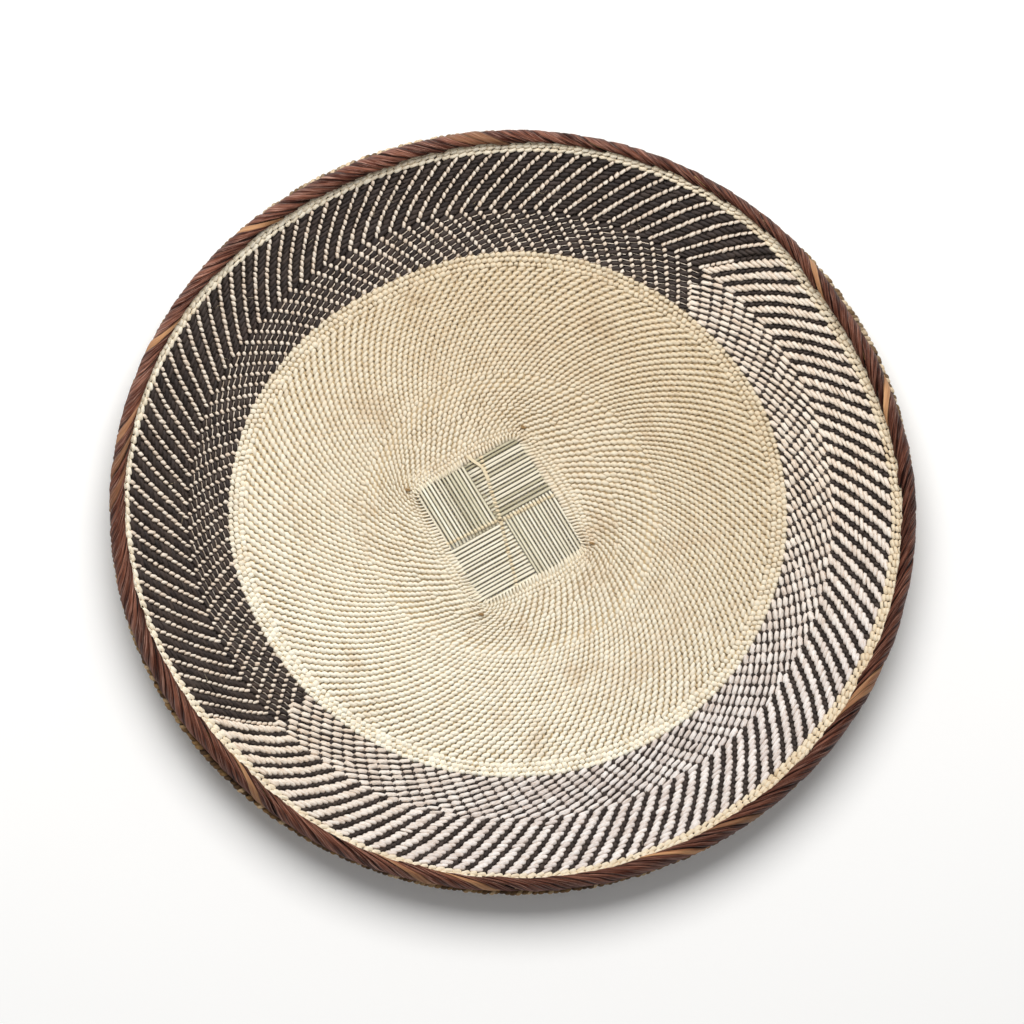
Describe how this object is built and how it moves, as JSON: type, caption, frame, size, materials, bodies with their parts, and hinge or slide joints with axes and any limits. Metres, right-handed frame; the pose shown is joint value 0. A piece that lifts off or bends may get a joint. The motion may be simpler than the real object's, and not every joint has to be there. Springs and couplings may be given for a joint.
{
  "type": "woven wall plate",
  "caption": "Shallow, slightly oval twined basket plate with a plaited centre, a two-tone chevron band and a lashed rim, for a wall or a table.",
  "frame": {"origin": "centre of the plate's outline on the plane it rests on", "axes": "+Z out of the front of the plate, +X along its longer diameter, +Y towards the top as it hangs"},
  "size_m": [0.45, 0.427, 0.036],
  "materials": {
    "natural_palm": "matt palm strip",
    "pale_palm": "matt bleached palm strip",
    "dyed_palm": "matt dark-dyed palm strip",
    "green_straw": "satin split palm rib",
    "dark_bark": "satin dark bark strip",
    "peeled_withy": "peeled bent branch",
    "coarse_fibre": "matt coarse grass fibre"
  },
  "bodies": {
    "root": {"cross_splints_upper": "green_straw", "cross_splints_lower": "green_straw", "long_splints_left": "green_straw", "long_splints_right": "green_straw", "block_binding": "pale_palm", "corner_knot_1": "peeled_withy", "corner_knot_2": "peeled_withy", "corner_knot_3": "peeled_withy", "corner_knot_4": "peeled_withy", "stake_01": "green_straw", "stake_02": "green_straw", "stake_03": "green_straw", "stake_04": "green_straw", "stake_05": "green_straw", "stake_06": "green_straw", "stake_07": "green_straw", "stake_08": "green_straw", "stake_09": "green_straw", "stake_10": "green_straw", "stake_11": "green_straw", "stake_12": "green_straw", "stake_13": "green_straw", "stake_14": "green_straw", "stake_15": "green_straw", "stake_16": "green_straw", "stake_17": "green_straw", "stake_18": "green_straw", "stake_19": "green_straw", "stake_20": "green_straw", "start_courses_front": "natural_palm", "start_courses_back": "natural_palm", "field_courses_front": "natural_palm", "field_courses_back": "natural_palm", "fine_courses_front": "natural_palm", "fine_courses_back": "natural_palm", "inner_band_dark_front": "dyed_palm", "inner_band_dark_back": "dyed_palm", "inner_band_light_front": "pale_palm", "inner_band_light_back": "pale_palm", "outer_band_dark_front": "dyed_palm", "outer_band_dark_back": "dyed_palm", "outer_band_light_front": "pale_palm", "outer_band_light_back": "pale_palm", "edge_courses_front": "natural_palm", "edge_courses_back": "natural_palm", "inner_hoop": "peeled_withy", "outer_hoop": "peeled_withy", "rim_lashing": "dark_bark", "outer_border": "coarse_fibre"}
  },
  "joints": []
}
